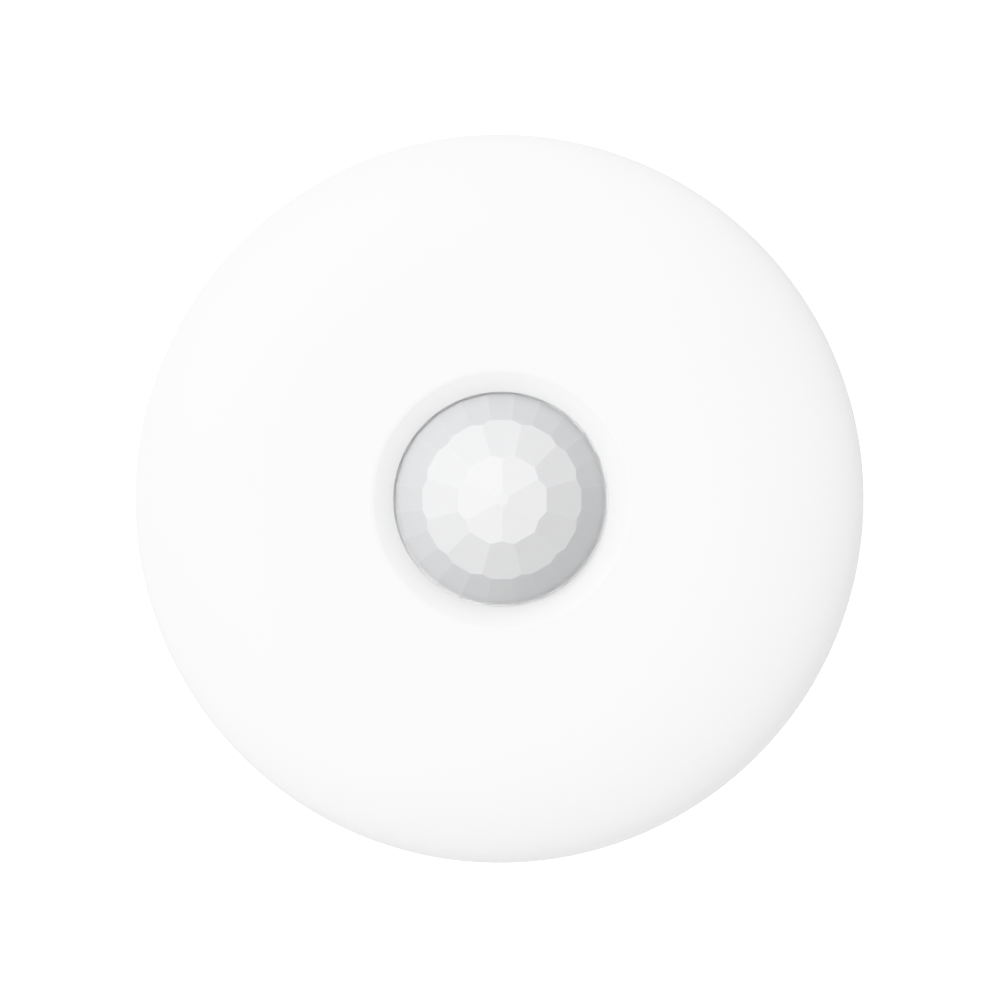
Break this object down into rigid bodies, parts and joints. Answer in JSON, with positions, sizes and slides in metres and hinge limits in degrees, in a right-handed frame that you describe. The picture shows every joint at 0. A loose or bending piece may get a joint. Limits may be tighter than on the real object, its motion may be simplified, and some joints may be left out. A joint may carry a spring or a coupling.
{
  "type": "motion sensor",
  "caption": "Round ceiling motion detector: domed white cover, faceted infrared lens in a central crater, twist-off mounting plate, battery and switches inside.",
  "frame": {"origin": "centre of the mounting plate's back face, on the detector's axis", "axes": "+Z out of the ceiling along the lens axis; the battery lies along X on the -Y side, where the clamp screw is"},
  "size_m": [0.11, 0.11, 0.0365],
  "materials": {
    "plate_plastic": "fine spark texture, white ABS",
    "housing_plastic": "fine spark texture, white ABS",
    "label_film": "blank satin silver-grey film",
    "cover_plastic": "satin white ABS with a very fine texture",
    "lens_film": "milky translucent polyethylene",
    "retainer_plastic": "white ABS",
    "screw_steel": "zinc plated",
    "board_laminate": "green solder mask on glass-fibre laminate",
    "chip_resin": "moulded epoxy",
    "tinned_metal": "tinned",
    "module_laminate": "blue solder mask on laminate",
    "shield_metal": "nickel silver sheet",
    "antenna_wire": "gold flashed wire",
    "can_metal": "nickel plated steel",
    "capacitor_can": "bare aluminium",
    "capacitor_ceramic": "sintered ceramic",
    "resistor_film": "glazed film",
    "stand_plastic": "nylon",
    "infrared_window": "coated silicon, dark",
    "led_resin": "water-clear resin",
    "guard_foam": "open-cell foam, dark grey",
    "cell_steel": "nickel plated",
    "sleeve_film": "plain shrink sleeve, no print",
    "strip_film": "thin polyester strip",
    "contact_metal": "nickel plated sheet",
    "spring_steel": "spring wire",
    "lead_red": "PVC insulation",
    "lead_black": "PVC insulation",
    "plunger_plastic": "acetal",
    "switch_plastic": "glass-filled nylon",
    "actuator_plastic": "acetal",
    "button_plastic": "grey ABS",
    "dip_plastic": "red moulded plastic",
    "slider_plastic": "white acetal",
    "washer_steel": "zinc plated"
  },
  "bodies": {
    "bracket": {"mounting_plate": "plate_plastic"},
    "head": {"rear_housing": "housing_plastic", "rating_label": "label_film", "front_cover": "cover_plastic", "lens": "lens_film", "lens_retainer": "retainer_plastic", "retainer_screws": "screw_steel", "cover_screws": "screw_steel", "circuit_board": "board_laminate", "board_screws": "screw_steel", "microcontroller": "chip_resin", "microcontroller_pins": "tinned_metal", "radio_module": "module_laminate", "radio_shield": "shield_metal", "antenna": "antenna_wire", "crystal": "can_metal", "bulk_capacitor": "capacitor_can", "chip_capacitors": "capacitor_ceramic", "chip_resistors": "resistor_film", "chip_terminals": "tinned_metal", "pir_stand": "stand_plastic", "pir_can": "can_metal", "pir_window": "infrared_window", "pir_leads": "tinned_metal", "status_led": "led_resin", "insect_guard": "guard_foam", "battery_cell": "cell_steel", "battery_sleeve": "sleeve_film", "battery_pull_strip": "strip_film", "battery_contact_plus": "contact_metal", "battery_contact_minus": "contact_metal", "battery_spring": "spring_steel", "battery_lead_plus": "lead_red", "battery_lead_minus": "lead_black", "tamper_spring": "spring_steel", "tamper_switch": "switch_plastic", "tact_switch": "switch_plastic", "dip_switch": "dip_plastic"},
    "plunger": {"tamper_plunger": "plunger_plastic", "tamper_actuator": "actuator_plastic"},
    "button": {"pairing_button": "button_plastic", "tact_stem": "actuator_plastic"},
    "slider_1": {"dip_slider_1": "slider_plastic"},
    "slider_2": {"dip_slider_2": "slider_plastic"},
    "washer": {"clamp_washer": "washer_steel"},
    "clamp": {"clamp_screw": "screw_steel"}
  },
  "joints": [
    {"name": "head_twist", "type": "hinge", "parent": "bracket", "child": "head", "pos_m": [0, 0, 0], "axis": [0, 0, 1], "range_deg": [0, 15]},
    {"name": "tamper_press", "type": "slide", "parent": "head", "child": "plunger", "axis": [0, 0, 1], "range_m": [0, 0.0006], "deforming": ["tamper_spring"]},
    {"name": "pairing_button_press", "type": "slide", "parent": "head", "child": "button", "axis": [0, 0, 1], "range_m": [0, 0.0003]},
    {"name": "option_slider_1_slide", "type": "slide", "parent": "head", "child": "slider_1", "axis": [0, 1, 0], "range_m": [0, 0.0017]},
    {"name": "option_slider_2_slide", "type": "slide", "parent": "head", "child": "slider_2", "axis": [0, 1, 0], "range_m": [0, 0.0017]},
    {"name": "clamp_screw_advance", "type": "slide", "parent": "head", "child": "washer", "axis": [0, -1, 0], "range_m": [0, 0.001]},
    {"name": "clamp_screw_turn", "type": "hinge", "parent": "washer", "child": "clamp", "pos_m": [0, -0.05, 0.00375], "axis": [0, -1, 0], "range_deg": [0, 800]}
  ],
  "couplings": [
    {"joint": "clamp_screw_turn", "follows": "clamp_screw_advance", "rad_per_m": 13963}
  ]
}
